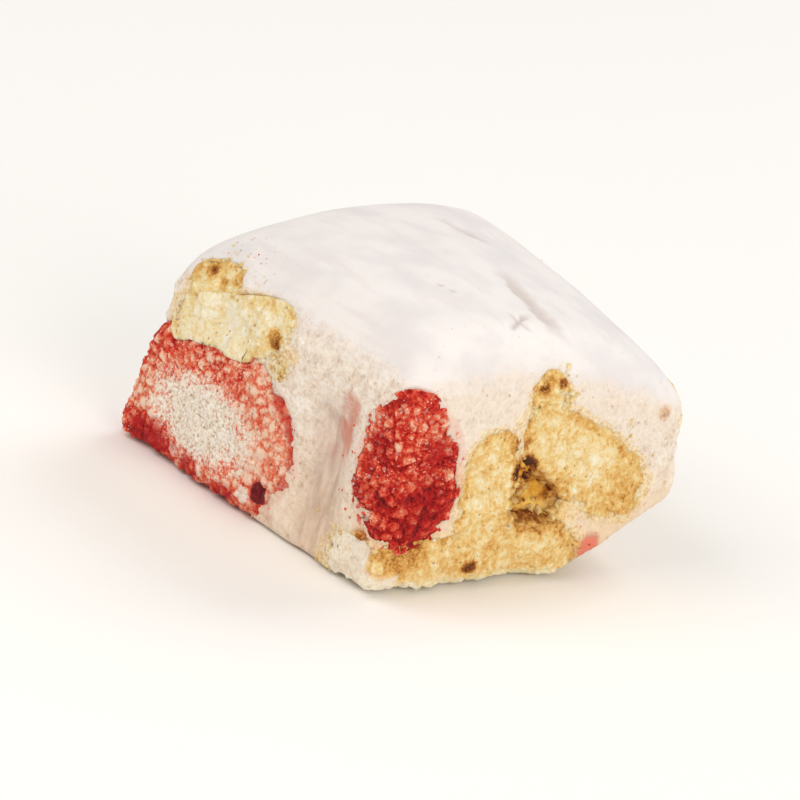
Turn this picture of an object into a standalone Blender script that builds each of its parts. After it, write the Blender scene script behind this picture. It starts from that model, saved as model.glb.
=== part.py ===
"""One piece of snowflake crisp: a hand-cut block of white marshmallow nougat that holds freeze-dried
strawberries and small round biscuits. The knife has cut through them, so they show at the four sides,
and the top is the smooth, slightly domed skin of the slab.

The origin is on the floor under the middle of the block. X runs along the long side, Z is up.
The side at -Y and the side at +X are the two best seen ones.
"""

import math
from collections import namedtuple

import bmesh
import bpy
from mathutils import Euler, Vector, noise

MM = 0.001

# --- The block of nougat, in millimetres -----------------------------------------------------------

LENGTH = 41.5  # along X
WIDTH = 38.5  # along Y
THICKNESS = 25.0  # the slab, before the corners' own heights
HALF = Vector((LENGTH / 2, WIDTH / 2, THICKNESS / 2))
# Height of the top skin over each corner, keyed by the signs of X and Y, and how much higher it is
# halfway along the sides: CROWN_X on those that run along X, CROWN_Y on those along Y.
CORNER_HEIGHTS = {(-1, -1): 21.6, (1, -1): 24.4, (1, 1): 18.6, (-1, 1): 24.8}
CROWN_X = 1.7
CROWN_Y = 3.2
TOP_ROUND = 5.0  # radius of the edges at the top
BASE_ROUND = 1.6  # radius of the edges at the floor
ROUND_GROWS = (0.15, 0.75)  # between these shares of the height the one radius becomes the other
UPRIGHT_EDGE_POWER = 5.0  # how square the block's upright edges are: 2 is round, more is squarer
LEFT_LEAN = 4.2  # the side at -X leans in by this much at the top
HEEL_LIFT = 8.0  # the floor edge rises by this much at the corner +X +Y
HEEL_X = (-2.0, 20.75)  # where the rise starts and ends along X
HEEL_Y = (3.0, 23.25)
SIDE_SWELL = 0.55  # sides that were cut by hand are never quite flat
SIDE_SWELL_SIZE = 9.0
SWELL_FOOT = (0.0, 0.1)  # shares of the height between which the swell sets in
SWELL_HEAD = (0.8, 1.0)  # and between which it fades
SKIN_GRID = (18, 17, 11)  # faces along X, Y and Z

# The fold in the side at -Y, between the strawberries, and its two creases.
FOLD_X = 11.0
FOLD_HALF_WIDTH = 4.6
FOLD_DEPTH = 1.8
FOLD_FOOT = (-1.0, 4.0)  # heights between which the fold deepens
FOLD_HEAD = (12.0, 19.0)  # and between which it fades
FOLD_REACH = 0.55  # how far in from the side it is felt, as a share of half the width
CREASES_X = (9.2, 12.9)
CREASE_DEPTH = 0.4
CREASE_HALF_WIDTH = 0.9

# --- The pieces in the nougat, in millimetres ------------------------------------------------------

GAP = 0.3  # what they keep from it, from each other and from the floor
CUT_GRID = (24, 22, 14)  # faces along X, Y and Z of the surfaces that they are cut off at
STRAWBERRY_SWELL = 0.25  # dried fruit stands a little proud of the nougat
STRAWBERRY_CRAG = 0.7
STRAWBERRY_CRAG_SIZE = 2.2
STRAWBERRY_TAPER = 0.16  # how much narrower than its middle the tip is, and wider the stalk end
STRAWBERRY_DIMPLE = 0.09  # as a share of its size, like the two below
BISCUIT_SWELL = -0.1
BISCUIT_CRAG = 1.2
BISCUIT_CRAG_SIZE = 2.6
BISCUIT_UNEVEN = 0.10
HOLLOW_UNEVEN = 0.12
BISCUIT_RIM_POWER = 0.55  # how full a biscuit's rim is: 1 is an ellipsoid, less is squarer
BISCUIT_FACE_POWER = 0.75  # how flat its two faces are
# How many waves of the unevenness pass in a millimetre, and on a strawberry in half its size.
BISCUIT_WAVES = 0.28
HOLLOW_WAVES = 0.5
STRAWBERRY_WAVES = 1.7
# How far apart two pieces of a kind read the noise.
BISCUIT_STEP = 7.3
STRAWBERRY_STEP = 5.1

# half is the half size before the turn, which is in degrees about X, Y and Z. Each piece leaves room
# for those in clear_of, which come before it.
Piece = namedtuple("Piece", "name half centre turn clear_of", defaults=((),))

STRAWBERRIES = (
    # At the side -Y, down to the floor.
    Piece("strawberry_front", (15.2, 8.6, 8.9), (-8.4, -17.6, 6.9), (0, -10, 0)),
    # At the edge between -Y and +X.
    Piece("strawberry_corner", (5.2, 5.4, 8.0), (20.2, -16.6, 13.3), (14, 0, 0)),
    # At the edge between +Y and -X.
    Piece("strawberry_back", (8.2, 8.4, 7.4), (-16.6, 15.6, 8.8), (0, 12, 20)),
)

BISCUITS = (
    # Over the large strawberry.
    Piece("biscuit_front", (9.4, 5.8, 2.4), (-6.8, -17.4, 17.3), (0, -19, 0), ("strawberry_front",)),
    Piece("crumb_front", (3.6, 3.0, 1.8), (-10.8, -17.2, 19.8), (0, -12, 0), ("biscuit_front",)),
    # At the side +X: one along the floor that reaches round the edge, one upright on top of it, and
    # one that slants down from a crumb near the top.
    Piece("biscuit_low", (7.0, 15.3, 3.3), (18.6, -7.5, 2.7), (3, 0, 0), ("strawberry_corner",)),
    Piece(
        "biscuit_upright", (6.6, 6.6, 3.4), (17.8, -6.3, 10.4), (93, 0, 0),
        ("biscuit_low", "strawberry_corner"),
    ),
    Piece(
        "biscuit_slanting", (6.6, 10.4, 3.5), (17.8, 5.7, 12.6), (-30, 0, 0),
        ("biscuit_low", "biscuit_upright"),
    ),
    Piece("crumb_right", (3.4, 2.6, 2.2), (18.8, -0.8, 19.2), (-60, 0, 0), ("biscuit_slanting",)),
    # At the side +Y.
    Piece("biscuit_back_long", (11.6, 6.2, 3.0), (0.0, 17.6, 12.8), (0, 24, 0)),
    Piece("biscuit_back_oval", (6.2, 5.4, 2.8), (13.0, 18.0, 15.6), (0, -14, 0)),
    # At the side -X.
    Piece("biscuit_left_long", (6.0, 9.6, 2.7), (-16.4, 0.6, 17.0), (7, 0, 0)),
    Piece("biscuit_left_oval", (5.0, 6.2, 2.7), (-18.6, -2.2, 6.6), (-12, 0, 0), ("strawberry_front",)),
)

# The open pocket in the side at +X, between the slanting biscuit, the upright one and the low one.
HOLLOW = Piece("hollow", (4.2, 3.6, 4.0), (21.8, 0.6, 9.2), (0, 0, 0))

# --- Finishes --------------------------------------------------------------------------------------

NOUGAT_COLOUR = (0.87, 0.83, 0.76)
NOUGAT_ROUGHNESS = 0.62
STRAWBERRY_COLOUR = (0.60, 0.07, 0.05)
BISCUIT_COLOUR = (0.78, 0.53, 0.24)
CRUMB_ROUGHNESS = 0.85


def clear_scene():
    for obj in list(bpy.data.objects):
        bpy.data.objects.remove(obj)


def food_material(name, colour, roughness):
    material = bpy.data.materials.new(name)
    material.use_nodes = True
    shader = material.node_tree.nodes["Principled BSDF"]
    shader.inputs["Base Color"].default_value = (*colour, 1.0)
    shader.inputs["Roughness"].default_value = roughness
    shader.inputs["Metallic"].default_value = 0.0
    return material


def smooth_step(low, high, value):
    """0 below low, 1 above high, and smooth in between. It falls where low is the higher one."""
    t = min(1.0, max(0.0, (value - low) / (high - low)))
    return t * t * (3 - 2 * t)


def bump(centre, half_width, value):
    """1 at the centre, falling smoothly to 0 at half_width on both sides."""
    return smooth_step(0.0, 1.0, 1 - min(1.0, abs(value - centre) / half_width))


# --- The block's outside ---------------------------------------------------------------------------


def top_height(x, y):
    """Height of the top skin over the floor point x, y."""
    s = min(1.0, max(0.0, (x / HALF.x + 1) / 2))
    t = min(1.0, max(0.0, (y / HALF.y + 1) / 2))
    front = CORNER_HEIGHTS[-1, -1] * (1 - s) + CORNER_HEIGHTS[1, -1] * s
    back = CORNER_HEIGHTS[-1, 1] * (1 - s) + CORNER_HEIGHTS[1, 1] * s
    dome = CROWN_X * (1 - (2 * s - 1) ** 2) + CROWN_Y * (1 - (2 * t - 1) ** 2)
    return front * (1 - t) + back * t + dome


def rounded(point):
    """The point of a plain box moved onto the box with rounded edges, which are softer at the top."""
    up = (point.z / HALF.z + 1) / 2
    radius = BASE_ROUND + (TOP_ROUND - BASE_ROUND) * smooth_step(*ROUND_GROWS, up)
    inner = Vector(max(-h + radius, min(h - radius, p)) for p, h in zip(point, HALF))
    out = point - inner
    power = UPRIGHT_EDGE_POWER
    plan = (abs(out.x) ** power + abs(out.y) ** power) ** (1 / power)
    reach = math.hypot(plan, out.z)
    return inner + out * (radius / reach)


def fold_depth(x, z):
    """How far the side at -Y is pressed in at x, z."""
    height = smooth_step(*FOLD_FOOT, z) * (1 - smooth_step(*FOLD_HEAD, z))
    creases = sum(bump(x0, CREASE_HALF_WIDTH, x) for x0 in CREASES_X)
    return height * (FOLD_DEPTH * bump(FOLD_X, FOLD_HALF_WIDTH, x) + CREASE_DEPTH * creases)


def heel_lift(x, y):
    """How far the underside rises towards the corner +X +Y."""
    return HEEL_LIFT * smooth_step(*HEEL_X, x) * smooth_step(*HEEL_Y, y)


def block_point(point):
    """A point on the plain box moved to its place on the real block, in millimetres over the floor."""
    p = rounded(point)
    up = (p.z / HALF.z + 1) / 2
    base = heel_lift(p.x, p.y)
    z = base + (top_height(p.x, p.y) - base) * up
    lean = LEFT_LEAN * smooth_step(0.0, -HALF.x, p.x) * up
    front = smooth_step(-HALF.y * FOLD_REACH, -HALF.y, p.y)
    spot = Vector((p.x + lean, p.y + front * fold_depth(p.x, z), z))
    swell = SIDE_SWELL * noise.noise(spot / SIDE_SWELL_SIZE)
    swell *= smooth_step(*SWELL_FOOT, up) * (1 - smooth_step(*SWELL_HEAD, up))
    return spot + Vector((p.x, p.y, 0)).normalized() * swell


def box_mesh(grid):
    """A box of the block's plain size, with grid faces along X, Y and Z."""
    bm = bmesh.new()
    bmesh.ops.create_cube(bm, size=2.0)
    for axis, faces in enumerate(grid):
        along = [e for e in bm.edges if abs((e.verts[0].co - e.verts[1].co)[axis]) > 1.0]
        bmesh.ops.subdivide_edges(bm, edges=along, cuts=faces - 1, use_grid_fill=True)
    bmesh.ops.scale(bm, vec=HALF, verts=bm.verts)
    return bm


def finish_mesh(bm, name, material=None, helper=False):
    """Makes an object in metres of a bmesh in millimetres. A helper only cuts and isn't food."""
    bmesh.ops.scale(bm, vec=(MM, MM, MM), verts=bm.verts)
    bmesh.ops.recalc_face_normals(bm, faces=bm.faces)
    mesh = bpy.data.meshes.new(name)
    bm.to_mesh(mesh)
    bm.free()
    mesh.shade_smooth()
    obj = bpy.data.objects.new(name, mesh)
    bpy.context.scene.collection.objects.link(obj)
    if material:
        mesh.materials.append(material)
    if helper:
        obj.hide_render = True
        obj.display_type = "WIRE"
    return obj


def nougat_block(material):
    bm = box_mesh(SKIN_GRID)
    for vert in bm.verts:
        vert.co = block_point(vert.co)
    return finish_mesh(bm, "nougat", material)


def cutting_block(name, swell, crag, crag_size):
    """The block's outside again, grown by swell and with crags, where the pieces are cut off."""
    bm = box_mesh(CUT_GRID)
    for vert in bm.verts:
        vert.co = block_point(vert.co)
    bm.normal_update()
    moved = {v: v.co + v.normal * (swell + crag * noise.noise(v.co / crag_size)) for v in bm.verts}
    for vert, spot in moved.items():
        vert.co = (spot.x, spot.y, max(spot.z, GAP))
    return finish_mesh(bm, name, helper=True)


# --- The pieces inside it --------------------------------------------------------------------------


def place(bm, piece):
    turn = Euler([math.radians(angle) for angle in piece.turn]).to_matrix()
    bmesh.ops.rotate(bm, cent=(0, 0, 0), matrix=turn, verts=bm.verts)
    bmesh.ops.translate(bm, vec=piece.centre, verts=bm.verts)


def grow(bm, distance):
    bm.normal_update()
    moved = {vert: vert.co + vert.normal * distance for vert in bm.verts}
    for vert, spot in moved.items():
        vert.co = spot


def biscuit_mesh(half, seed):
    """A small biscuit or a broken part of one: a thick disc with a full round rim, uneven like dough."""
    bm = bmesh.new()
    bmesh.ops.create_uvsphere(bm, u_segments=18, v_segments=10, radius=1.0)
    for vert in bm.verts:
        flat = Vector((vert.co.x, vert.co.y, 0))
        side = flat.normalized() * flat.length ** BISCUIT_RIM_POWER
        rise = math.copysign(abs(vert.co.z) ** BISCUIT_FACE_POWER, vert.co.z)
        vert.co = Vector((side.x * half[0], side.y * half[1], rise * half[2]))
        place_in_noise = vert.co * BISCUIT_WAVES + Vector((seed * BISCUIT_STEP, 0, 0))
        vert.co *= 1 + BISCUIT_UNEVEN * noise.noise(place_in_noise)
    return bm


def strawberry_mesh(half, seed):
    """A freeze-dried strawberry: an egg with a narrow tip, shrunk into shallow dimples."""
    bm = bmesh.new()
    bmesh.ops.create_uvsphere(bm, u_segments=20, v_segments=12, radius=1.0)
    for vert in bm.verts:
        taper = 1 - STRAWBERRY_TAPER * vert.co.z
        egg = Vector((vert.co.x * taper, vert.co.y * taper, vert.co.z))
        place_in_noise = egg * STRAWBERRY_WAVES + Vector((0, seed * STRAWBERRY_STEP, 0))
        egg *= 1 + STRAWBERRY_DIMPLE * noise.noise(place_in_noise)
        vert.co = Vector(c * h for c, h in zip(egg, half))
    return bm


def hollow_mesh(half, seed):
    """The room that a broken biscuit has left."""
    bm = bmesh.new()
    bmesh.ops.create_uvsphere(bm, u_segments=16, v_segments=10, radius=1.0)
    for vert in bm.verts:
        vert.co = Vector(c * h for c, h in zip(vert.co, half))
        place_in_noise = vert.co * HOLLOW_WAVES + Vector((0, 0, seed * BISCUIT_STEP))
        vert.co *= 1 + HOLLOW_UNEVEN * noise.noise(place_in_noise)
    return bm


def boolean(obj, operation, other):
    modifier = obj.modifiers.new(other.name, "BOOLEAN")
    modifier.operation = operation
    modifier.solver = "EXACT"
    modifier.object = other


def pocket(piece, make_mesh, seed, pockets, gap=GAP):
    """The room that a piece takes out of the nougat."""
    room = make_mesh(piece.half, seed)
    grow(room, gap)
    place(room, piece)
    pockets.objects.link(finish_mesh(room, piece.name + "_pocket", helper=True))


def embed(pieces, make_mesh, material, cut_off, pockets):
    """Adds pieces that lie in the nougat and are cut off where the block's sides are."""
    for seed, piece in enumerate(pieces, start=1):
        body = make_mesh(piece.half, seed)
        place(body, piece)
        obj = finish_mesh(body, piece.name, material)
        boolean(obj, "INTERSECT", cut_off)
        for other in piece.clear_of:
            boolean(obj, "DIFFERENCE", bpy.data.objects[other + "_pocket"])
        pocket(piece, make_mesh, seed, pockets)


def centre_on_floor(food):
    """Moves everything together, so that the middle of the food's own box is over the origin."""
    bpy.context.view_layer.update()
    graph = bpy.context.evaluated_depsgraph_get()
    corners = [Vector(corner) for obj in food for corner in obj.evaluated_get(graph).bound_box]
    low, high = (Vector(limit(c[axis] for c in corners) for axis in range(2)) for limit in (min, max))
    for obj in bpy.data.objects:
        obj.location.xy = -(low + high) / 2


def main():
    clear_scene()
    nougat = nougat_block(food_material("nougat", NOUGAT_COLOUR, NOUGAT_ROUGHNESS))
    strawberry_look = food_material("strawberry", STRAWBERRY_COLOUR, CRUMB_ROUGHNESS)
    biscuit_look = food_material("biscuit", BISCUIT_COLOUR, CRUMB_ROUGHNESS)

    fruit_cut = cutting_block("fruit_cut", STRAWBERRY_SWELL, STRAWBERRY_CRAG, STRAWBERRY_CRAG_SIZE)
    crumb_cut = cutting_block("crumb_cut", BISCUIT_SWELL, BISCUIT_CRAG, BISCUIT_CRAG_SIZE)
    pockets = bpy.data.collections.new("pockets")
    embed(STRAWBERRIES, strawberry_mesh, strawberry_look, fruit_cut, pockets)
    embed(BISCUITS, biscuit_mesh, biscuit_look, crumb_cut, pockets)
    pocket(HOLLOW, hollow_mesh, 0, pockets, gap=0.0)

    cut = nougat.modifiers.new("pockets", "BOOLEAN")
    cut.operation = "DIFFERENCE"
    cut.solver = "EXACT"
    cut.operand_type = "COLLECTION"
    cut.collection = pockets

    centre_on_floor([obj for obj in bpy.data.objects if not obj.hide_render])


main()
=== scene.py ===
"""The looks of one piece of snowflake crisp: white marshmallow nougat with freeze-dried strawberries and
small round biscuits, cut by hand, so that the fruit and the crumb show at its four sides.

Shapes are worked out in millimetres, and a finished piece is in metres, as the frame is.
"""

import math
import random

import bmesh
import bpy
from mathutils import Matrix, Vector, noise
from mathutils.bvhtree import BVHTree


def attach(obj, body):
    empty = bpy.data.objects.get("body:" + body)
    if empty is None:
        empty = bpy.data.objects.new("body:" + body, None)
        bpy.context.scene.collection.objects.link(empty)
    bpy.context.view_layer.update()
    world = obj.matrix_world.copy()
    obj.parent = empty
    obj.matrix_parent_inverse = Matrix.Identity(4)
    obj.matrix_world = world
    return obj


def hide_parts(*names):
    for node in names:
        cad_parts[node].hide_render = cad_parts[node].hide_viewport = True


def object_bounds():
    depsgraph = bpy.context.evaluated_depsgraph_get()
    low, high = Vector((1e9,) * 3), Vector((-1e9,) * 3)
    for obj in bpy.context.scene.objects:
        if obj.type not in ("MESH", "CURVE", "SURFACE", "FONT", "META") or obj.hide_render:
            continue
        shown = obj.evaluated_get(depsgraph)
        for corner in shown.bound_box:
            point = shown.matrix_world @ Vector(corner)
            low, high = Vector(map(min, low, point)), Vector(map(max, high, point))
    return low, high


MM = 0.001

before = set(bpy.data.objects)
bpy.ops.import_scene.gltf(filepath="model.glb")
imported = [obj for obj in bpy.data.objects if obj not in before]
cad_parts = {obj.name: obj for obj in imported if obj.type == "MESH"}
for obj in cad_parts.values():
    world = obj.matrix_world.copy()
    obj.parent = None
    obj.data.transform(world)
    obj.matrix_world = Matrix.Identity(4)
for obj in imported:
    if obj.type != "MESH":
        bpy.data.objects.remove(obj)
cad_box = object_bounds()

# --- The view, in millimetres and degrees ----------------------------------------------------------

AZIMUTH = 46.4
ELEVATION = 19.8
ROLL = 13.0  # the piece lay askew on others: the camera is rolled, and the piece lies flat
AIM = Vector((14.8, -15.35, 18.45))
VIEW_WIDTH = 75.9
LENS = 200.0
SENSOR = 36.0

# --- The nets of faces, in millimetres -------------------------------------------------------------

NOUGAT_NET = 0.44  # the cut sides get one half as wide
STRAWBERRY_NET = 0.17
BISCUIT_NET = 0.2
BLOCK_NET = 0.5
WELD = 0.001

# --- The nougat, in millimetres --------------------------------------------------------------------

SKIN_SMOOTHING = 22  # rounds that even out the top skin
CUT_SMOOTHING = 3
BLOCK_SMOOTHING = 5
SKIN_SLOPE = (0.14, 0.62)  # from which slope on the smooth skin takes over from the cut side
SKIN_WANDER = ((2.2, 0.10), (0.7, 0.08))  # size and amount of the waves in that border
SKIN_DEPTH = (0.5, 1.2)  # depths under the cut between which the skin ends
UNDERSIDE = (-0.4, -0.8)  # from which slope on a face belongs to the smooth underside
SKIN_WAVES = ((9.0, 0.16), (2.8, 0.04))  # size and height of each, and of the next two
CUT_LUMPS = (3.0, 0.20)
CUT_CRUMB = (0.85, 0.13)
CUT_PITS = (1.15, 0.30)  # spacing and depth of the burst bubbles
PIT_RADIUS = 0.34  # as a share of the pits' spacing
PIT_SHARE = 0.42  # the share of cells that hold one
MOUTH_REACH = (0.35, 0.75)  # distances from fruit and biscuit between which a socket's mouth ends
LIP_LEAST = 0.35  # how far nougat smears over the rim of fruit and biscuit, at least
LIP_REACH = 1.1  # and how much further in places
LIP_WANDER = 1.7
LIP_SHIFT = 0.15  # the higher, the more of those places
POCKET_LIP = 0.7  # how much shorter the lips are at the open pocket, as a share
LIP_LIFT = 0.04  # how far a lip stands over the cut
LIP_FALL = 0.6  # how much lower it ends, for each millimetre that its face lay deep in the socket
FAR_LIFT = 0.18  # how much higher it stands, for each millimetre of extra reach
# Where the nougat smears further over what it covers: centre, radius and extra reach.
FAR_LIPS = (
    (Vector((17.4, -19.4, 8.4)), 3.0, 1.3),
    (Vector((20.6, -10.6, 17.5)), 1.8, 0.8),
    (Vector((14.0, -19.0, 3.0)), 2.5, 0.8),
    (Vector((-15.5, -19.0, 15.5)), 3.0, 0.7),
    (Vector((20.0, 18.0, 19.5)), 3.5, 1.0),
)
SIDE_DEPTH = 4.5  # the open pocket's floor lies that deep, and counts as a side
HIDDEN_WALL = 0.6  # a wall this close to fruit or biscuit can't be seen
POCKET_GRAIN = (0.95, 0.9)  # size and height of the grains in the pocket
FOLD_X = 10.5
FOLD_HALF_WIDTH = 4.4
FOLD_TOP = (14.0, 18.0)
FOLD_FRONT = (-14.0, -16.5)
FOLD_STRIAE = (0.55, 6.0, 0.16)  # width, length and height of the streaks that the knife left
FOLD_CRUMB_LOSS = 0.75  # how much less crumb and how many fewer pits there are in the fold
FOLD_PIT_LOSS = 0.8
# Marks in the top skin: from, to, half width and depth.
SCRATCHES = (
    (Vector((4.2, 3.9)), Vector((17.1, 1.4)), 1.6, 0.34),
    (Vector((13.2, -2.6)), Vector((16.4, -2.0)), 0.45, 0.36),
    (Vector((13.4, 0.0)), Vector((16.2, -4.4)), 0.45, 0.36),
    (Vector((6.9, -6.6)), Vector((7.7, -6.2)), 0.45, 0.36),
    (Vector((8.4, -6.2)), Vector((9.0, -5.8)), 0.50, 0.30),
    (Vector((-9.0, 6.0)), Vector((-2.5, 8.5)), 1.2, 0.22),
)

# Between which values the tints of the cut come in or end: distances, x, y or heights.
JUICE_REACH = (0.3, 1.6)
CRUMB_REACH = (0.3, 2.0)
# The low tint is painted warm shade towards the foot, most at the right end.
LOW_HEIGHT = (3.0, 14.0)
LOW_START = (14.0, 18.0)
LOW_LEAST = 0.4
CALM_START = (17.0, 19.0)
CALM_HEIGHT = (12.0, 18.0)
GOLD_START = (-10.0, -6.0)
GOLD_HEIGHT = (8.0, 12.0)
GOLD_TILT = 0.35
MARK_FULL = 0.3  # a mark this deep in the skin has its full painted shade
NOUGAT_MASKS = (
    "skin", "fold", "low", "calm", "mark", "speckled",
    "pink", "brown", "gold", "pit", "crumbed", "stained",
)

# --- Where fruit and biscuit meet the nougat -------------------------------------------------------

CLOSE_REACH = (0.38, 0.75)  # distances between which a piece stops reaching for its neighbour
CLOSE_OVERLAP = 0.30
FLUSH_REACH = (0.45, 1.0)  # depths between which a surface stops following the cut
OPEN_REACH = (0.3, 0.9)  # distances between which a surface gets clear of its neighbours
RIM_REACH = (0.3, 1.3)  # distances from the nougat between which a rim ends
RIM_WANDER = (0.9, 0.3)  # size and amount of the waves in that border
RIM_CALM = (0.3, 1.0)  # distances from a neighbour between which the relief gets its full height
SINK_REACH = (0.3, 0.8)  # and between which a rim stops sinking
RIM_SINK = 0.10  # how far a rim lies under the nougat
COVER_SINK = 0.22  # and under each fruit or biscuit that covers it
LAID_OVER = {"biscuit_front": "strawberry_front"}  # the first lies over the second's rim
OVER_REACH = 0.9  # how far it reaches over it
UNDER_SINK = 0.28  # and how far the second gives way there
# Size and height of the coarse grains, of the crumb on them and of the broad lumps.
FRUIT_GRAIN = ((1.25, 0.55), (0.42, 0.20), (2.4, 0.16))
BISCUIT_GRAIN = ((1.5, 0.30), (0.5, 0.18), (2.0, 0.22))

STRAWBERRIES = ("strawberry_front", "strawberry_corner", "strawberry_back")
# How toasted each biscuit is, from 0 for pale cream to 1 for dark brown, and how many others cover its rim.
BISCUITS = {
    "biscuit_front": (0.13, 0),
    "crumb_front": (0.28, 2),
    "biscuit_low": (0.35, 1),
    "biscuit_upright": (0.30, 2),
    "biscuit_slanting": (0.30, 1),
    "crumb_right": (0.32, 2),
    "biscuit_back_long": (0.18, 1),
    "biscuit_back_oval": (0.28, 1),
    "biscuit_left_long": (0.16, 1),
    "biscuit_left_oval": (0.30, 1),
}

# A spot is a centre, a radius and an amount, which it has in full up to this share of the radius.
SPOT_HEART = 0.35
TOASTED = (
    (Vector((-0.2, -19.0, 18.7)), 1.5, 0.50),
    (Vector((17.2, -19.2, 5.4)), 1.3, 0.50),
    (Vector((18.0, -19.0, 3.4)), 3.0, 0.22),
    (Vector((20.4, -15.5, 4.2)), 3.4, 0.24),
    (Vector((20.5, -6.6, 2.6)), 1.2, 0.60),
    (Vector((20.0, -3.0, 15.6)), 2.0, 0.22),
    (Vector((20.0, -1.8, 20.6)), 1.1, 0.40),
    (Vector((20.0, 0.4, 21.2)), 0.9, 0.34),
    (Vector((-12.2, -18.6, 21.0)), 1.2, 0.34),
    (Vector((-10.0, -18.4, 20.4)), 1.0, 0.24),
    (Vector((20.0, -1.8, 12.4)), 2.2, 0.60),
    (Vector((18.5, 1.0, 9.0)), 5.2, 0.26),
    (Vector((20.2, 11.4, 9.2)), 3.2, 0.16),
    (Vector((19.8, 1.4, 6.0)), 2.0, 0.20),
)
PALE = (
    (Vector((20.0, 6.3, 13.2)), 4.2, 0.08),
    (Vector((-7.5, -19.0, 17.6)), 4.0, 0.06),
)
WINE = ((Vector((2.3, -19.4, 3.4)), 1.7, 1.0),)
CRIMSON = (
    *WINE,
    # On the corner berry's lower middle: painted shade.
    (Vector((20.8, -14.8, 9.4)), 4.4, 0.60),
    (Vector((17.9, -19.5, 15.4)), 1.9, 0.45),
    (Vector((20.6, -14.0, 15.4)), 2.4, 0.50),
    (Vector((-17.0, -19.5, 1.8)), 2.4, 1.0),
    (Vector((-14.4, -19.5, 2.0)), 2.8, 1.0),
    (Vector((-8.6, -19.5, 0.9)), 2.6, 1.0),
    (Vector((-2.6, -19.2, 0.6)), 2.6, 1.0),
)
PINK_STAINS = (
    (Vector((12.4, -19.0, 16.6)), 2.8, 0.9),
    (Vector((11.6, -18.4, 13.6)), 3.0, 1.0),
    (Vector((10.8, -17.5, 11.2)), 2.4, 0.6),
    (Vector((20.4, 8.7, 3.2)), 2.4, 1.4),
    (Vector((3.8, -19.0, 2.0)), 2.0, 0.6),
)
# The open pocket: browned crust and crumb, with painted shade.
POCKET_CRUST_AND_SHADE = (
    (Vector((18.2, 0.4, 9.6)), 6.0, 1.0),
    (Vector((19.4, -2.0, 12.4)), 2.4, 1.0),
    (Vector((19.6, 1.6, 6.6)), 3.6, 1.0),
    (Vector((17.6, -19.3, 5.5)), 1.5, 1.0),
    (Vector((20.2, 15.1, 17.2)), 1.1, 0.55),
)
# Crumb that the knife has pressed into the nougat.
CRUMBED = (
    (Vector((1.4, -19.3, 17.0)), 3.0, 1.0),
    (Vector((3.2, -19.4, 18.4)), 1.6, 0.8),
    (Vector((20.2, 4.3, 7.4)), 3.2, 0.9),
    (Vector((20.2, -3.4, 17.4)), 3.0, 0.7),
    (Vector((-12.6, -18.6, 20.2)), 3.4, 0.8),
    (Vector((12.4, -18.6, 1.6)), 3.0, 0.6),
)
# Dust of fruit and biscuit on the nougat.
SPECKLED = (
    (Vector((-15.4, -18.4, 20.0)), 4.2, 1.0),
    (Vector((-10.8, -16.3, 23.7)), 4.0, 1.0),
    (Vector((-5.6, -17.0, 23.8)), 3.6, 0.8),
    (Vector((3.0, -18.6, 20.6)), 3.6, 0.5),
)
# Where nougat lies over fruit and biscuit.
SMEARED = (
    (Vector((13.0, -19.2, 3.0)), 6.0, 1.2),
    (Vector((17.0, -19.2, 3.6)), 4.2, 1.1),
    (Vector((18.4, -18.8, 0.9)), 4.0, 1.1),
    (Vector((20.4, -16.6, 0.6)), 3.2, 1.0),
    (Vector((20.4, -13.4, 0.3)), 2.2, 0.8),
    (Vector((0.2, -19.6, 2.4)), 1.5, 1.0),
    (Vector((-11.6, -19.6, 1.9)), 1.4, 0.8),
    (Vector((20.4, 18.0, 19.0)), 3.6, 1.3),
)

# Loose bits that stick to the piece: where, how many, and their radii in millimetres.
BISCUIT_BITS = (
    ((Vector((18.0, 0.6, 8.6)), 5.0), 160, (0.20, 0.60)),
    ((Vector((20.0, -6.0, 5.0)), 5.5), 60, (0.12, 0.30)),
    ((Vector((19.5, -17.0, 4.0)), 5.0), 50, (0.12, 0.30)),
    ((Vector((13.0, -19.0, 3.0)), 4.0), 30, (0.10, 0.26)),
    ((Vector((20.0, 9.0, 12.0)), 6.0), 60, (0.10, 0.26)),
    ((Vector((-11.0, -18.5, 20.5)), 4.5), 90, (0.10, 0.32)),
    ((Vector((1.0, -19.0, 17.0)), 2.6), 60, (0.12, 0.34)),
    ((Vector((19.8, 0.2, 20.4)), 2.8), 90, (0.12, 0.42)),
    ((Vector((0.0, 19.0, 12.0)), 12.0), 50, (0.10, 0.24)),
    ((Vector((-19.5, 0.0, 12.0)), 12.0), 50, (0.10, 0.24)),
)
FRUIT_BITS = (
    ((Vector((-8.0, -19.0, 7.0)), 11.0), 80, (0.05, 0.14)),
    ((Vector((18.5, -17.0, 13.0)), 8.0), 90, (0.06, 0.18)),
    ((Vector((-10.0, -15.5, 23.0)), 7.0), 10, (0.05, 0.10)),
    ((Vector((20.0, 8.0, 4.0)), 2.2), 12, (0.08, 0.20)),
    ((Vector((-16.0, 15.0, 9.0)), 10.0), 60, (0.06, 0.16)),
)
BIT_SINK = 0.45  # how deep a bit sits, as a share of its radius
BIT_ROUGHNESS = 0.60
BIT_KNOBS = 1.6  # how many knobs go across a bit
BIT_STRETCH = (0.55, 1.15)
BIT_SHADE = 0.14  # how much paler or darker a bit may be
BIT_PLAIN = 0.16  # a bit with a smaller radius gets fewer faces
SEED = 7

# The pale heart of the large strawberry: its middle, and half its width and height.
CORE_CENTRE = Vector((-8.0, -19.0, 6.7))
CORE_HALF = Vector((7.4, 3.9))

# --- The stage, in metres --------------------------------------------------------------------------

FLOOR_HALF = 1.5
SKY_STRENGTH = 0.45
LIGHT_AIM = Vector((0, 0, 0.012))


def srgb(red, green, blue):
    """A colour as it looks on a screen, from 0 to 255, as the light that the sockets take."""
    values = (value / 255 for value in (red, green, blue))
    return (*(v / 12.92 if v <= 0.04045 else ((v + 0.055) / 1.055) ** 2.4 for v in values), 1.0)


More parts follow.
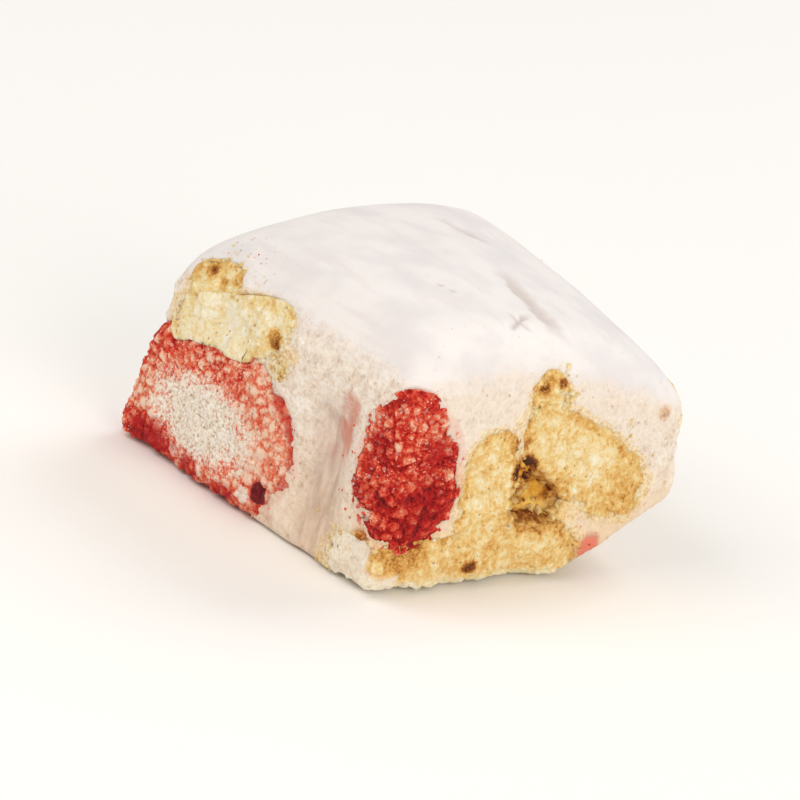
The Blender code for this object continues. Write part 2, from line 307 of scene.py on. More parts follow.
# Each light's name, place, size, power and colour.
LIGHTS = (
    ("key", (-0.15, -0.40, 0.45), 0.45, 1.58, srgb(255, 250, 244)),
    ("side", (0.55, -0.10, 0.25), 0.40, 1.75, srgb(255, 249, 240)),
    ("back", (-0.05, 0.50, 0.50), 0.40, 1.7, srgb(250, 252, 255)),
)

# --- Shader maths ----------------------------------------------------------------------------------


class Wire:
    """An output socket of a finish. Arithmetic on it adds Math nodes."""

    def __init__(self, finish, socket):
        self.finish = finish
        self.socket = socket

    def math(self, operation, *values):
        return self.finish.node("Math", {"operation": operation}, values)

    def __add__(self, other):
        return self.math("ADD", self, other)

    def __sub__(self, other):
        return self.math("SUBTRACT", self, other)

    def __rsub__(self, other):
        return self.math("SUBTRACT", other, self)

    def __mul__(self, other):
        return self.math("MULTIPLY", self, other)

    __radd__ = __add__
    __rmul__ = __mul__


class Finish:
    """A Principled material, with one method that adds any node to it."""

    def __init__(self, name, constants):
        self.material = bpy.data.materials.new(name)
        self.material.use_nodes = True
        self.tree = self.material.node_tree
        self.shader = self.tree.nodes["Principled BSDF"]
        for socket, value in constants.items():
            self.shader.inputs[socket].default_value = value
        self.place = self.node("TexCoord", output="Object")

    def node(self, kind, settings=None, inputs=(), output=0):
        node = self.tree.nodes.new("ShaderNode" + kind)
        for name, value in (settings or {}).items():
            if name == "stops":
                self.set_stops(node.color_ramp, value)
            else:
                setattr(node, name, value)
        named = inputs.items() if isinstance(inputs, dict) else enumerate(inputs)
        for name, value in named:
            self.feed(node.inputs[name], value)
        return Wire(self, node.outputs[output])

    def feed(self, socket, value):
        if isinstance(value, Wire):
            self.tree.links.new(value.socket, socket)
        else:
            socket.default_value = value

    @staticmethod
    def set_stops(ramp, stops):
        while len(ramp.elements) < len(stops):
            ramp.elements.new(1.0)
        for element, (position, colour) in zip(ramp.elements, stops):
            element.position = position
            element.color = colour

    def ramp(self, value, *stops):
        return self.node("ValToRGB", {"stops": stops}, {"Fac": value})

    def mix(self, share, low, high):
        """Colour low, turning to high as share goes from 0 to 1."""
        settings = {"data_type": "RGBA", "clamp_factor": True}
        return self.node("Mix", settings, {0: share, 6: low, 7: high}, output=2)

    def step(self, value, low, high):
        """0 where value is under low, 1 where it is over high, and smooth in between."""
        settings = {"interpolation_type": "SMOOTHSTEP"}
        return self.node("MapRange", settings, {"Value": value, "From Min": low, "From Max": high})

    def mask(self, name):
        """What the piece's own points say under that name."""
        return self.node("Attribute", {"attribute_name": name}, output="Fac")

    def stretched(self, scale):
        return self.node("Mapping", inputs={"Vector": self.place, "Scale": scale})

    def clouds(self, size, detail=3.0, roughness=0.55, place=None):
        """Noise around 0.5, with waves of that size in millimetres."""
        inputs = {
            "Vector": place or self.place,
            "Scale": 1 / (size * MM),
            "Detail": detail,
            "Roughness": roughness,
        }
        return self.node("TexNoise", inputs=inputs)

    def grains(self, size, output="Distance"):
        """Cells of that size in millimetres: the distance to their middles, or a colour for each."""
        return self.node("TexVoronoi", inputs={"Vector": self.place, "Scale": 1 / (size * MM)}, output=output)

    def grain_draw(self, size):
        """A number from 0 to 1 for each cell."""
        return self.node("SeparateColor", inputs=(self.grains(size, "Color"),))

    def specks(self, size, share, radius=0.30):
        """Round dots in that share of the cells of that size."""
        dots = self.step(self.grains(size), radius, radius * 0.5)
        return dots * self.step(self.grain_draw(size), 1 - share, 1.02 - share)

    def bump(self, height, depth, strength):
        """Relief too fine for the mesh, with its depth in millimetres."""
        inputs = {"Strength": strength, "Distance": depth * MM, "Height": height}
        return self.node("Bump", inputs=inputs, output="Normal")

    def shine(self, **inputs):
        for name, value in inputs.items():
            self.feed(self.shader.inputs[name.replace("_", " ")], value)


def nougat_finish():
    finish = Finish("nougat", {
        "Subsurface Weight": 0.30,
        "Subsurface Radius": (1.0, 0.80, 0.62),
        "Subsurface Scale": 1.0 * MM,
        "Specular IOR Level": 0.30,
    })
    skin = finish.mask("skin")
    broad = finish.clouds(5.5, 2.0)
    fine = finish.clouds(0.42, 4.0, 0.7)
    medium = finish.clouds(1.5, 3.0, 0.6)
    streaks = finish.clouds(1.0, 3.0, place=finish.stretched((0.10, 0.55, 1.0)))
    # The cut sides, mottled paler and darker with their fine relief: painted light and shade.
    cut = finish.ramp(
        (fine - 0.5) * 1.1 + (medium - 0.5) * 0.7 + 0.5,
        (0.22, srgb(202, 178, 156)), (0.42, srgb(233, 216, 199)),
        (0.60, srgb(244, 234, 221)), (0.80, srgb(253, 247, 240)),
    )
    # Painted shade in the fold, in vertical streaks.
    cut = finish.mix(finish.mask("fold") * 0.75, cut, finish.ramp(
        finish.clouds(0.8, 3.0, place=finish.stretched((1.0, 1.0, 0.16))),
        (0.32, srgb(168, 138, 124)), (0.62, srgb(229, 206, 191)),
    ))
    # Painted warm shade towards the foot, most at the right end; then the calmer right end.
    cut = finish.mix(finish.mask("low") * 0.75, cut, srgb(240, 208, 168))
    cut = finish.mix(finish.mask("calm") * 0.55, cut, srgb(242, 228, 214))
    # The skin, with faint clouds, streaks and specks.
    top = finish.mix(finish.step(broad, 0.35, 0.70), srgb(239, 234, 232), srgb(229, 224, 224))
    top = finish.mix(finish.step(streaks, 0.50, 0.72) * 0.6, top, srgb(230, 222, 222))
    top = finish.mix(finish.specks(0.9, 0.05, 0.18) * 0.5, top, srgb(205, 180, 164))
    colour = finish.mix(skin, cut, top)
    # Dust, crumb, juice and stains on both.
    speckled = finish.specks(0.62, 0.5) * finish.mask("speckled")
    tint = finish.ramp(
        finish.grain_draw(0.62),
        (0.55, srgb(176, 158, 138)), (0.7, srgb(214, 172, 110)), (0.9, srgb(224, 156, 142)),
    )
    colour = finish.mix(speckled * 0.8, colour, tint)
    colour = finish.mix(finish.specks(0.7, 0.06) * (1 - skin) * 0.6, colour, srgb(190, 150, 112))
    crumbed = finish.mask("crumbed")
    powdered = finish.step(crumbed + (medium - 0.5) * 1.6, 0.35, 0.80)
    colour = finish.mix(powdered * 0.75, colour, finish.ramp(
        fine, (0.34, srgb(206, 154, 86)), (0.48, srgb(236, 206, 146)), (0.62, srgb(248, 232, 196)),
    ))
    stained = finish.mask("stained")
    soaked = finish.step(stained + (medium - 0.5) * 2.4, 0.45, 1.10)
    colour = finish.mix(soaked * 0.40, colour, srgb(236, 170, 150))
    colour = finish.mix(finish.specks(0.45, 0.30) * stained, colour, srgb(208, 70, 58))
    runs = finish.clouds(1.1, 3.0, 0.6, finish.stretched((1.0, 1.0, 0.35)))
    pink = finish.step(finish.mask("pink") + (runs - 0.5) * 1.5, 0.20, 1.25)
    rosy = finish.mix(finish.step(finish.mask("pink"), 0.95, 1.25), srgb(206, 122, 98), srgb(232, 100, 80))
    colour = finish.mix(pink * 0.80, colour, rosy)
    # Browned crust and crumb in the open pocket, with painted shade: darker in its upper part, golder towards
    # its floor.
    crust_and_shade = finish.ramp(
        (fine - 0.5) * 1.5 + (medium - 0.5) * 1.0 + 0.42 + finish.mask("gold") * 0.44,
        (0.05, srgb(84, 34, 14)), (0.28, srgb(174, 96, 30)),
        (0.50, srgb(234, 164, 48)), (0.85, srgb(248, 208, 100)),
    )
    colour = finish.mix(finish.mask("brown"), colour, crust_and_shade)
    # Painted shade in the burst bubbles, darker the deeper they are.
    colour = finish.mix(finish.mask("pit") * 0.35, colour, srgb(198, 170, 148))
    # Painted shade in the groove and scratches of the skin, darker the deeper they are.
    colour = finish.mix(finish.mask("mark") * 0.6, colour, srgb(196, 180, 172))
    relief = fine + finish.clouds(0.18, 3.0, 0.65) * 0.45
    finish.shine(
        Base_Color=colour,
        Roughness=0.64 - skin * 0.12 + fine * 0.1,
        Normal=finish.bump(relief * (1 - skin * 0.75), 0.26, 0.75),
    )
    return finish


def strawberry_finish():
    finish = Finish("strawberry", {
        "Subsurface Weight": 0.10,
        "Subsurface Radius": (1.0, 0.35, 0.25),
        "Subsurface Scale": 0.6 * MM,
        "Specular IOR Level": 0.28,
    })
    fine = finish.clouds(0.34, 4.0, 0.72)
    patches = finish.clouds(1.5, 3.0)
    grain = finish.step(finish.grains(0.45), 0.55, 0.05)
    clump = finish.mask("clump")
    tone = finish.mask("tone")
    # Darker in the cracks between the grains and paler on their tops: painted shade and light.
    level = tone + (clump - 0.45) * 0.60 + (fine - 0.5) * 1.2 + (patches - 0.5) * 1.0 + (grain - 0.5) * 0.22
    # The flesh, from deep red to pale pink, with pale and dark grains.
    flesh = finish.ramp(
        level,
        (0.00, srgb(104, 4, 8)), (0.20, srgb(168, 16, 14)), (0.40, srgb(210, 46, 30)),
        (0.58, srgb(230, 102, 72)), (0.76, srgb(239, 152, 118)), (0.96, srgb(250, 212, 186)),
    )
    pale = finish.step(tone, 0.45, 0.8)
    flesh = finish.mix(finish.specks(0.70, 0.4, 0.42) * pale * 0.45, flesh, srgb(248, 204, 184))
    flesh = finish.mix(finish.specks(0.38, 0.5) * pale * 0.8, flesh, srgb(250, 226, 208))
    flesh = finish.mix(finish.specks(0.55, 0.28, 0.42) * 0.55, flesh, srgb(140, 26, 26))
    heart = finish.ramp(
        (fine - 0.5) * 1.6 + (grain - 0.5) * 0.3 + clump * 0.15 + 0.48,
        (0.06, srgb(166, 140, 116)), (0.26, srgb(230, 212, 190)),
        (0.46, srgb(252, 242, 228)), (0.80, srgb(255, 253, 248)),
    )
    heart = finish.mix(finish.specks(0.45, 0.16) * 0.7, heart, srgb(222, 124, 106))
    share = finish.step(finish.mask("core") + (patches - 0.5) * 0.6 + (fine - 0.5) * 0.9, 0.36, 0.66)
    colour = finish.mix(share, flesh, heart)
    # Crimson rims, painted shade low on the corner berry, the wine-red spot, and nougat smeared over it all.
    dark = finish.mask("dark")
    colour = finish.mix(dark * finish.step(fine + patches, 0.85, 1.05) * 0.9, colour, srgb(186, 24, 28))
    wine = finish.step(finish.mask("wine") + (fine - 0.5) * 1.0, 0.40, 0.62)
    deep = finish.ramp(fine, (0.36, srgb(66, 6, 16)), (0.66, srgb(140, 22, 34)))
    colour = finish.mix(wine * 0.95, colour, deep)
    smear = finish.step(finish.mask("smear") + (patches - 0.5) * 1.2, 0.40, 0.90)
    paste = finish.ramp(fine, (0.34, srgb(226, 200, 182)), (0.56, srgb(250, 238, 226)))
    colour = finish.mix(smear * 0.9, colour, paste)
    finish.shine(
        Base_Color=colour,
        Roughness=0.74,
        Normal=finish.bump(fine * 0.8 + grain * 0.4 + finish.clouds(0.14, 3.0, 0.6) * 0.4, 0.30, 0.85),
    )
    return finish


def biscuit_finish():
    finish = Finish("biscuit", {
        "Subsurface Weight": 0.15,
        "Subsurface Radius": (1.0, 0.65, 0.35),
        "Subsurface Scale": 0.8 * MM,
        "Specular IOR Level": 0.22,
    })
    patches = finish.clouds(1.7, 3.0, 0.6)
    fine = finish.clouds(0.4, 4.0, 0.7)
    toast = finish.mask("toast")
    # Darker in the cracks between the grains: painted shade.
    level = toast + (patches - 0.5) * 0.60 + (fine - 0.5) * 1.00 + (0.5 - finish.mask("clump")) * 0.25
    colour = finish.ramp(
        level,
        (0.00, srgb(254, 247, 228)), (0.18, srgb(249, 234, 194)), (0.38, srgb(241, 210, 142)),
        (0.60, srgb(222, 166, 84)), (0.80, srgb(160, 94, 38)), (1.00, srgb(78, 38, 20)),
    )
    colour = finish.mix(finish.specks(0.7, 0.20) * 0.6, colour, srgb(160, 104, 44))
    smear = finish.step(finish.mask("smear") + (patches - 0.5) * 1.2, 0.40, 0.90)
    paste = finish.ramp(fine, (0.34, srgb(236, 214, 184)), (0.54, srgb(255, 247, 232)))
    colour = finish.mix(smear * 0.9, colour, paste)
    finish.shine(
        Base_Color=colour,
        Roughness=0.8,
        Normal=finish.bump(fine + finish.clouds(0.16, 3.0, 0.65) * 0.6, 0.26, 0.8),
    )
    return finish


# --- Mesh helpers, in millimetres ------------------------------------------------------------------


def smooth_step(low, high, value):
    t = min(1.0, max(0.0, (value - low) / (high - low)))
    return t * t * (3 - 2 * t)


def spots_at(spots, point):
    """How much the strongest of the spots has at a point."""
    return max(
        amount * (1 - smooth_step(SPOT_HEART, 1.0, (point - centre).length / radius))
        for centre, radius, amount in spots
    )


def mesh_of(*nodes):
    """CAD nodes as one bmesh whose triangles are joined up."""
    bm = bmesh.new()
    for node in nodes:
        bm.from_mesh(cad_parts[node].data)
    bmesh.ops.scale(bm, vec=(1 / MM,) * 3, verts=bm.verts)
    bmesh.ops.remove_doubles(bm, verts=bm.verts, dist=WELD)
    return bm


def tree_of(*nodes):
    bm = mesh_of(*nodes)
    tree = BVHTree.FromBMesh(bm)
    bm.free()
    return tree


def even_net(bm, width):
    """The same shape as one net of small faces, without the scraps that it leaves."""
    mesh = bpy.data.meshes.new("net")
    bm.to_mesh(mesh)
    bm.free()
    obj = bpy.data.objects.new("net", mesh)
    bpy.context.scene.collection.objects.link(obj)
    remesh = obj.modifiers.new("net", "REMESH")
    remesh.mode = "VOXEL"
    remesh.voxel_size = width
    net = bmesh.new()
    net.from_object(obj, bpy.context.evaluated_depsgraph_get())
    bpy.data.objects.remove(obj)
    bpy.data.meshes.remove(mesh)
    drop_scraps(net)
    return net


def drop_scraps(bm):
    left = set(bm.verts)
    bodies = []
    while left:
        body = set()
        front = [left.pop()]
        while front:
            vert = front.pop()
            body.add(vert)
            beside = [edge.other_vert(vert) for edge in vert.link_edges]
            new = [other for other in beside if other in left]
            left.difference_update(new)
            front.extend(new)
        bodies.append(body)
    main_body = max(bodies, key=len)
    scraps = [vert for body in bodies if body is not main_body for vert in body]
    bmesh.ops.delete(bm, geom=scraps, context="VERTS")


def smooth(bm, verts, rounds):
    for _ in range(rounds):
        bmesh.ops.smooth_vert(bm, verts=verts, factor=0.5, use_axis_x=True, use_axis_y=True, use_axis_z=True)


def move(bm, spots):
    """Moves each vertex to its new spot, and no further out than the CAD's own box."""
    low, high = (Vector(corner) / MM for corner in cad_box)
    for vert, spot in spots.items():
        vert.co = Vector(min(h, max(l, value)) for value, l, h in zip(spot, low, high))


def finish_piece(bm, name, finish, replaced=None):
    bmesh.ops.scale(bm, vec=(MM,) * 3, verts=bm.verts)
    mesh = bpy.data.meshes.new(name)
    bm.to_mesh(mesh)
    bm.free()
    mesh.shade_smooth()
    mesh.materials.append(finish.material)
    obj = bpy.data.objects.new(name, mesh)
    bpy.context.scene.collection.objects.link(obj)
    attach(obj, "root")
    if replaced:
        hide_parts(replaced)


# --- The cut: one smooth surface that nougat, fruit and biscuit all follow --------------------------


def close_gap(spot, neighbours):
    """Where a spot ends up when the piece sticks to what it lies in, and how open it lies."""
    nearest, _, _, away = neighbours.find_nearest(spot)
    share = 1 - smooth_step(*CLOSE_REACH, away)
    towards = (nearest - spot).normalized()
    return spot + towards * (away + CLOSE_OVERLAP) * share, away


def whole_block(neighbours):
    """The whole piece's smooth outer surface, without the gaps between its nodes."""
    block = mesh_of("nougat")
    for node, others in neighbours.items():
        bm = mesh_of(node)
        for vert in bm.verts:
            vert.co, _ = close_gap(vert.co, others)
        mesh = bpy.data.meshes.new(node)
        bm.to_mesh(mesh)
        bm.free()
        block.from_mesh(mesh)
        bpy.data.meshes.remove(mesh)
    block = even_net(block, BLOCK_NET)
    smooth(block, block.verts, BLOCK_SMOOTHING)
    tree = BVHTree.FromBMesh(block)
    block.free()
    return tree


def flush(spot, depth, outside):
    """The spot brought level with the cut where it lies close below it, the cut's direction there, and
    how much of the way it was brought.
    """
    level, direction, _, _ = outside.find_nearest(spot)
    share = 1 - smooth_step(*FLUSH_REACH, depth)
    return spot.lerp(level, share), direction, share


# --- Nougat ----------------------------------------------------------------------------------------


def pit_depth(point, spacing):
    """How deep a burst bubble is at a point, from 0 to 1."""
    distances, middles = noise.voronoi(point / spacing)
    # Each cell has a number of its own, which says whether it holds a pit and how wide that is.
    draw = noise.cell(middles[0] * 9.7)
    if draw % 1.0 > PIT_SHARE:
        return 0.0
    radius = PIT_RADIUS * (0.5 + draw % 0.5)
    return 1 - smooth_step(0.25 * radius, radius, distances[0])


def fold_share(point):
    """1 in the middle of the fold in the side at -Y, and 0 outside it."""
    across = 1 - smooth_step(0.2, 1.0, abs(point.x - FOLD_X) / FOLD_HALF_WIDTH)
    height = 1 - smooth_step(*FOLD_TOP, point.z)
    front = smooth_step(*FOLD_FRONT, point.y)
    return across * height * front


def top_marks(point):
    """Depth of the groove and the scratches in the top skin."""
    flat = Vector((point.x, point.y))
    depth = 0.0
    for start, end, half_width, deep in SCRATCHES:
        along = max(0.0, min(1.0, (flat - start).dot(end - start) / (end - start).length_squared))
        off = (flat - start - (end - start) * along).length + 0.4 * half_width * noise.noise(point / 1.2)
        fading = 1 - abs(2 * along - 1) ** 3  # towards both ends
        depth = max(depth, deep * (1 - smooth_step(0.1, 1.0, off / half_width)) * fading)
    return depth


def skin_share(spot, outside):
    """1 on the smooth top skin and 0 on the cut sides and below, with the spot's depth under the cut."""
    _, direction, _, depth = outside.find_nearest(spot)
    slope = sum((noise.noise(spot / size) * amount for size, amount in SKIN_WANDER), direction.z)
    return smooth_step(*SKIN_SLOPE, slope) * (1 - smooth_step(*SKIN_DEPTH, depth)), depth


def refine_cut(bm, inclusions, outside):
    """Halves the net's width on the cut sides, in the open pocket and at the marks in the skin."""

    def is_fine(vert):
        skin, depth = skin_share(vert.co, outside)
        if skin == 1:
            return top_marks(vert.co) > 0
        if vert.normal.z < -SKIN_SLOPE[1]:
            return False
        if depth < FLUSH_REACH[1]:
            return True
        return depth < SIDE_DEPTH and inclusions.find_nearest(vert.co)[3] > HIDDEN_WALL

    fine = {vert for vert in bm.verts if is_fine(vert)}
    edges = [edge for edge in bm.edges if fine.issuperset(edge.verts)]
    bmesh.ops.subdivide_edges(bm, edges=edges, cuts=1, use_grid_fill=True)
    bm.normal_update()


def lip(vert, mouth, depth, nearest, outside):
    """Where a vertex at a socket's mouth smears to, over what lies in the socket, and its normal there."""
    further = spots_at(FAR_LIPS, vert.co)
    reach = LIP_LEAST + LIP_REACH * max(0.0, noise.noise(vert.co / LIP_WANDER) + LIP_SHIFT)
    reach = (reach + further) * (1 - POCKET_LIP * spots_at(POCKET_CRUST_AND_SHADE, vert.co))
    over = vert.co + (nearest - vert.co).normalized() * reach
    level, direction, _, _ = outside.find_nearest(over)
    lift = LIP_LIFT + FAR_LIFT * further - LIP_FALL * depth
    spot = vert.co.lerp(level + direction * lift, mouth)
    return spot, vert.normal.lerp(direction, mouth).normalized()


def cut_height(spot, fold, brown, pit):
    """Height of the relief of a cut side: lumps, crumb, pits, streaks, and grains in the pocket."""
    lumps = noise.fractal(spot / CUT_LUMPS[0], 1.0, 2.0, 2) * CUT_LUMPS[1]
    crumb = noise.fractal(spot / CUT_CRUMB[0], 0.8, 2.1, 3) * CUT_CRUMB[1]
    height = lumps + crumb * (1 - FOLD_CRUMB_LOSS * fold) - pit * CUT_PITS[1]
    stria = Vector((spot.x / FOLD_STRIAE[0], spot.y / FOLD_STRIAE[0], spot.z / FOLD_STRIAE[1]))
    height += fold * noise.noise(stria) * FOLD_STRIAE[2]
    return height + brown * (granule(spot, POCKET_GRAIN[0]) - 0.5) * POCKET_GRAIN[1]


def tints_at(spot):
    """The nougat's masks that depend on the place alone."""
    low = 1 - smooth_step(*LOW_HEIGHT, spot.z)
    gold = 1 - smooth_step(*GOLD_HEIGHT, spot.z + GOLD_TILT * spot.y)
    return {
        "low": low * (LOW_LEAST + (1 - LOW_LEAST) * smooth_step(*LOW_START, spot.x)),
        "calm": smooth_step(*CALM_START, spot.x) * smooth_step(*CALM_HEIGHT, spot.z),
        "gold": gold * smooth_step(*GOLD_START, spot.y),
        "speckled": spots_at(SPECKLED, spot),
        "pink": spots_at(PINK_STAINS, spot),
        "brown": spots_at(POCKET_CRUST_AND_SHADE, spot),
        "fold": fold_share(spot),
    }


def nougat_piece(finish, inclusions, fruit, biscuit, outside):
    bm = even_net(mesh_of("nougat"), NOUGAT_NET)
    smooth(bm, bm.verts, CUT_SMOOTHING)
    smooth(bm, [vert for vert in bm.verts if skin_share(vert.co, outside)[0] > 0], SKIN_SMOOTHING)
    bm.normal_update()
    refine_cut(bm, inclusions, outside)
    layers = {name: bm.verts.layers.float.new(name) for name in NOUGAT_MASKS}
    spots = {}
    for vert in bm.verts:
        skin, depth = skin_share(vert.co, outside)
        nearest, _, _, away = inclusions.find_nearest(vert.co)
        _, _, _, fruit_away = fruit.find_nearest(vert.co)
        _, _, _, biscuit_away = biscuit.find_nearest(vert.co)
        upper = 1 - smooth_step(*UNDERSIDE, vert.normal.z)
        mouth = (1 - smooth_step(*MOUTH_REACH, away)) * (1 - smooth_step(*FLUSH_REACH, depth)) * (1 - skin)
        mouth *= upper
        spot = vert.co.copy()
        normal = vert.normal.copy()
        if mouth > 0.0:
            spot, normal = lip(vert, mouth, depth, nearest, outside)
        masks = tints_at(spot)
        fold = masks["fold"]
        pit = pit_depth(spot, CUT_PITS[0]) * (1 - FOLD_PIT_LOSS * fold)
        cut = (1 - skin) * max(smooth_step(*OPEN_REACH, away), mouth) * upper
        mark = skin * top_marks(spot)
        height = cut * cut_height(spot, fold, masks["brown"], pit)
        height += skin * sum(noise.noise(spot / size) * tall for size, tall in SKIN_WAVES) - mark
        spots[vert] = spot + normal * height
        crumbed = max(1 - smooth_step(*CRUMB_REACH, biscuit_away), spots_at(CRUMBED, spot))
        masks["skin"] = skin
        masks["mark"] = min(1.0, mark / MARK_FULL)
        masks["pit"] = pit * cut
        masks["crumbed"] = (1 - skin) * crumbed
        masks["stained"] = (1 - skin) * (1 - smooth_step(*JUICE_REACH, fruit_away))
        for name, value in masks.items():
            vert[layers[name]] = value
    move(bm, spots)
    surface = BVHTree.FromBMesh(bm)
    finish_piece(bm, "nougat_block", finish, "nougat")
    return surface


# --- Fruit and biscuit -----------------------------------------------------------------------------


def granule(point, size):
    """Height of a rough surface made of grains of that size, from 0 in the cracks to 1."""
    distances, middles = noise.voronoi(point / size)
    # Each grain has a height of its own.
    tall = 0.6 + 0.4 * noise.noise(middles[0] * 5.3)
    return smooth_step(0.0, 0.6, distances[1] - distances[0]) * tall


def crusty_height(spot, sizes):
    """Height of the relief of fruit or biscuit, and that of its coarse grains alone, from 0 to 1."""
    (grain, grain_tall), (crumb, crumb_tall), (lump, lump_tall) = sizes
    coarse = granule(spot, grain)
    small = noise.fractal(spot / crumb, 0.8, 2.0, 2)
    height = (coarse - 0.5) * grain_tall + small * crumb_tall + lump_tall * noise.noise(spot / lump)
    return height, coarse


def crusty_piece(node, width, slot, finish, covers, neighbours, nougat, outside, names, describe):
    """A piece that lies in the nougat, flush with the cut, under as many others as covers says.

    names are its masks, and describe gives the relief and the masks at a spot.
    """
    pairs = {**LAID_OVER, **{under: over for over, under in LAID_OVER.items()}}
    partner = tree_of(pairs[node]) if node in pairs else None
    bm = even_net(mesh_of(node), width)
    smooth(bm, bm.verts, 2)
    bm.normal_update()
    layers = {name: bm.verts.layers.float.new(name) for name in names}
    spots = {}
    for vert in bm.verts:
        _, _, _, depth = outside.find_nearest(vert.co)
        _, _, _, nougat_away = nougat.find_nearest(vert.co)
        spot, away = close_gap(vert.co, neighbours)
        if node in LAID_OVER:
            below, _, _, gap = partner.find_nearest(vert.co)
            spot += (below - vert.co).normalized() * OVER_REACH * (1 - smooth_step(*CLOSE_REACH, gap))
        spot, direction, level = flush(spot, depth, outside)
        normal = vert.normal.lerp(direction, level).normalized()
        waves = RIM_WANDER[1] * noise.noise(spot / RIM_WANDER[0])
        rim = 1 - smooth_step(*RIM_REACH, nougat_away + waves)
        height, masks = describe(spot, rim)
        height *= 0.5 + 0.5 * smooth_step(*RIM_CALM, away)
        # Where another fruit or biscuit is closer than the nougat, that one covers the rim.
        covered = smooth_step(0.0, 0.3, nougat_away - away)
        sink = RIM_SINK * (1 - smooth_step(*SINK_REACH, nougat_away))
        sink += COVER_SINK * covers * (1 - smooth_step(*OPEN_REACH, away)) * covered
        if node in LAID_OVER.values():
            _, _, _, gap = partner.find_nearest(vert.co)
            sink += UNDER_SINK * (1 - smooth_step(OVER_REACH, 2 * OVER_REACH, gap))
        spots[vert] = spot + normal * (height - sink) * max(level, smooth_step(*SINK_REACH, away))
        for name, value in masks.items():
            vert[layers[name]] = value
        vert[layers["smear"]] = spots_at(SMEARED, spot)
    move(bm, spots)
    finish_piece(bm, node + "_" + slot, finish, node)


def strawberry_relief(node):
    large = node == "strawberry_front"

    def describe(spot, rim):
        off = spot - CORE_CENTRE
        # 1 in the middle of the pale heart, 0.5 at its edge, and less outside it.
        heart = 1.0 - math.hypot(off.x / CORE_HALF.x, off.z / CORE_HALF.y) * 0.5 if large else 0.0
        height, coarse = crusty_height(spot, FRUIT_GRAIN)
        # The large slice is cut smoother than the others, and its heart is the smoothest.
        height *= 0.7 - 0.35 * smooth_step(0.4, 0.55, heart) if large else 1.2
        dark = spots_at(CRIMSON, spot)
        if large:
            # Redder at the upper left and along the floor at the left.
            tone = 0.86 - 0.10 * smooth_step(-8.0, -16.0, spot.x) * smooth_step(7.0, 12.0, spot.z)
            tone -= 0.12 * smooth_step(-8.0, -14.0, spot.x) * (1 - smooth_step(2.5, 5.0, spot.z))
            # Paler at the right, around the heart, and in a band at the left end.
            tone += 0.19 * smooth_step(-5.0, 1.0, spot.x) + 0.16 * smooth_step(0.2, 0.5, heart)
            pale_band = smooth_step(3.0, 5.0, spot.z) * (1 - smooth_step(6.0, 10.0, spot.z))
            tone += 0.14 * smooth_step(-12.0, -16.0, spot.x) * pale_band
            dark = max(dark, rim * smooth_step(0.0, 3.0, spot.x))
        else:
            # Paler towards the top: painted light from above.
            tone = 0.58 + 0.16 * smooth_step(10.0, 16.0, spot.z) + 0.14 * noise.noise(spot / 2.6)
        masks = {
            "clump": coarse,
            "core": heart,
            "dark": dark,
            "tone": tone - 0.20 * dark,
            "wine": spots_at(WINE, spot),
        }
        return height, masks

    return ("clump", "core", "dark", "tone", "wine", "smear"), describe


def biscuit_relief(toast):
    def describe(spot, rim):
        height, coarse = crusty_height(spot, BISCUIT_GRAIN)
        edge = smooth_step(0.1, 0.8, rim)
        # Browner at its rim, and paler along the floor.
        share = toast - 0.03 + 0.14 * edge + spots_at(TOASTED, spot) - spots_at(PALE, spot)
        share -= 0.22 * (1 - smooth_step(0.6, 2.0, spot.z))
        return height, {"clump": coarse, "toast": share}

    return ("clump", "toast", "smear"), describe


def loose_bits(name, finish, draw, places, constants, surface):
    """Small lumps that stick to the nougat, as one piece."""
    bm = bmesh.new()
    layers = {key: bm.verts.layers.float.new(key) for key in constants}
    for (centre, radius), count, (least, most) in places:
        for _ in range(count):
            way = Vector([draw.gauss(0, 1) for _ in "xyz"]).normalized()
            spot, direction, _, _ = surface.find_nearest(centre + way * radius * draw.random() ** 0.5)
            size = least + (most - least) * draw.random() ** 2
            rounds = 1 if size < BIT_PLAIN else 2
            made = bmesh.ops.create_icosphere(bm, subdivisions=rounds, radius=size)
            seed = Vector((draw.random(), draw.random(), draw.random())) * 100
            flat = Matrix.Diagonal([draw.uniform(*BIT_STRETCH) for _ in "xyz"])
            shade = draw.uniform(-BIT_SHADE, BIT_SHADE) + spots_at(TOASTED, spot)
            for vert in made["verts"]:
                knobs = noise.fractal(vert.co / size * BIT_KNOBS + seed, 0.8, 2.2, 3)
                knob = 1 + BIT_ROUGHNESS * knobs
                vert.co = spot + direction * size * (0.5 - BIT_SINK) + flat @ vert.co * knob
                for key, value in constants.items():
                    vert[layers[key]] = value + (shade if key in ("toast", "tone") else 0)
    move(bm, {vert: vert.co for vert in bm.verts})
    finish_piece(bm, name, finish)


# --- Stage -----------------------------------------------------------------------------------------


def stage_floor():
    bm = bmesh.new()
    bmesh.ops.create_grid(bm, x_segments=1, y_segments=1, size=FLOOR_HALF)
    mesh = bpy.data.meshes.new("floor")
    bm.to_mesh(mesh)
    bm.free()
    floor = bpy.data.objects.new("floor", mesh)
    bpy.context.scene.collection.objects.link(floor)
    paper = Finish("floor", {"Base Color": srgb(250, 249, 247), "Roughness": 0.9, "Specular IOR Level": 0.1})
    mesh.materials.append(paper.material)


def softbox(name, place, size, power, colour):
    """A square light that looks at the piece."""
    data = bpy.data.lights.new(name, "AREA")
    data.size = size
    data.energy = power
    data.color = colour[:3]
    light = bpy.data.objects.new(name, data)
    light.location = place
    aim = LIGHT_AIM - Vector(place)
    light.rotation_euler = aim.to_track_quat("-Z", "Y").to_euler()
    bpy.context.scene.collection.objects.link(light)


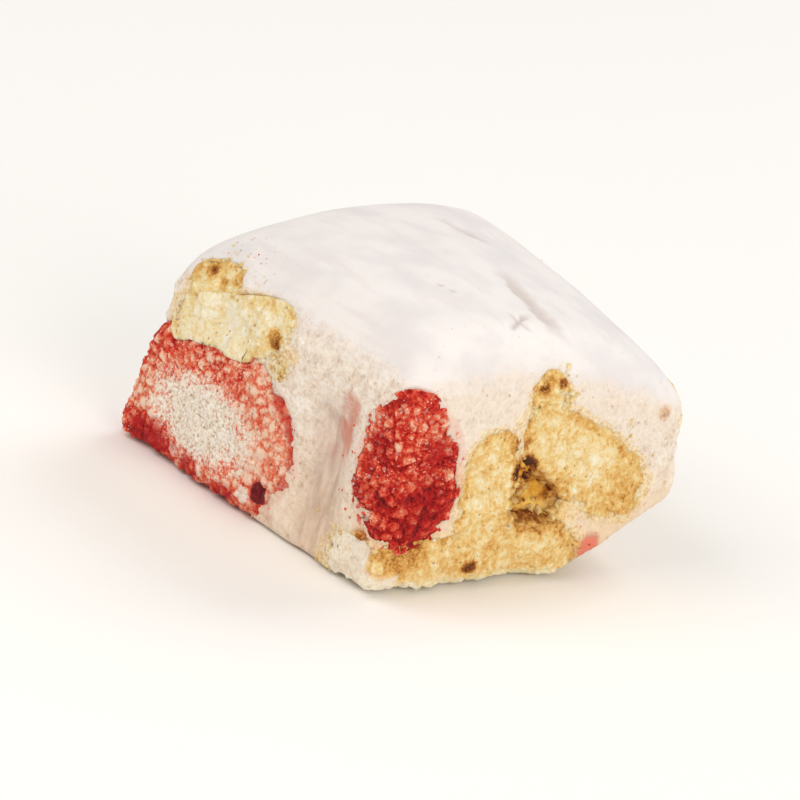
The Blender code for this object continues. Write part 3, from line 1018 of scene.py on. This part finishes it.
def stage_light():
    world = bpy.data.worlds.new("studio")
    world.use_nodes = True
    background = world.node_tree.nodes["Background"]
    background.inputs["Color"].default_value = srgb(255, 252, 248)
    background.inputs["Strength"].default_value = SKY_STRENGTH
    bpy.context.scene.world = world
    for light in LIGHTS:
        softbox(*light)
    bpy.context.scene.view_settings.view_transform = "Standard"


def camera():
    turn, lift, roll = (math.radians(angle) for angle in (AZIMUTH, ELEVATION, ROLL))
    level = Vector((math.cos(turn), math.sin(turn), 0))
    back = Vector((math.sin(turn) * math.cos(lift), -math.cos(turn) * math.cos(lift), math.sin(lift)))
    rise = back.cross(level)
    up = rise * math.cos(roll) - level * math.sin(roll)
    right = level * math.cos(roll) + rise * math.sin(roll)
    data = bpy.data.cameras.new("camera")
    data.lens = LENS
    data.sensor_width = SENSOR
    data.clip_start = 0.01
    view = bpy.data.objects.new("camera", data)
    place = (AIM + back * VIEW_WIDTH * LENS / SENSOR) * MM
    view.matrix_world = Matrix.Translation(place) @ Matrix((right, up, back)).transposed().to_4x4()
    bpy.context.scene.collection.objects.link(view)
    bpy.context.scene.camera = view


def main():
    inclusions = [*STRAWBERRIES, *BISCUITS]
    nougat = tree_of("nougat")
    neighbours = {
        node: tree_of("nougat", *(other for other in inclusions if other != node))
        for node in inclusions
    }
    outside = whole_block(neighbours)
    surface = nougat_piece(
        nougat_finish(), tree_of(*inclusions), tree_of(*STRAWBERRIES), tree_of(*BISCUITS), outside
    )
    fruit_look = strawberry_finish()
    for node in STRAWBERRIES:
        around = (0, neighbours[node], nougat, outside)
        crusty_piece(node, STRAWBERRY_NET, "strawberry", fruit_look, *around, *strawberry_relief(node))
    crumb_look = biscuit_finish()
    for node, (toast, covers) in BISCUITS.items():
        around = (covers, neighbours[node], nougat, outside)
        crusty_piece(node, BISCUIT_NET, "biscuit", crumb_look, *around, *biscuit_relief(toast))
    draw = random.Random(SEED)
    crumb = {"clump": 0.5, "toast": 0.32, "smear": 0.0}
    dust = {"clump": 0.6, "core": 0.0, "dark": 0.0, "tone": 0.60, "wine": 0.0, "smear": 0.0}
    loose_bits("biscuit_bits", crumb_look, draw, BISCUIT_BITS, crumb, surface)
    loose_bits("strawberry_bits", fruit_look, draw, FRUIT_BITS, dust, surface)
    stage_floor()
    stage_light()
    camera()


main()
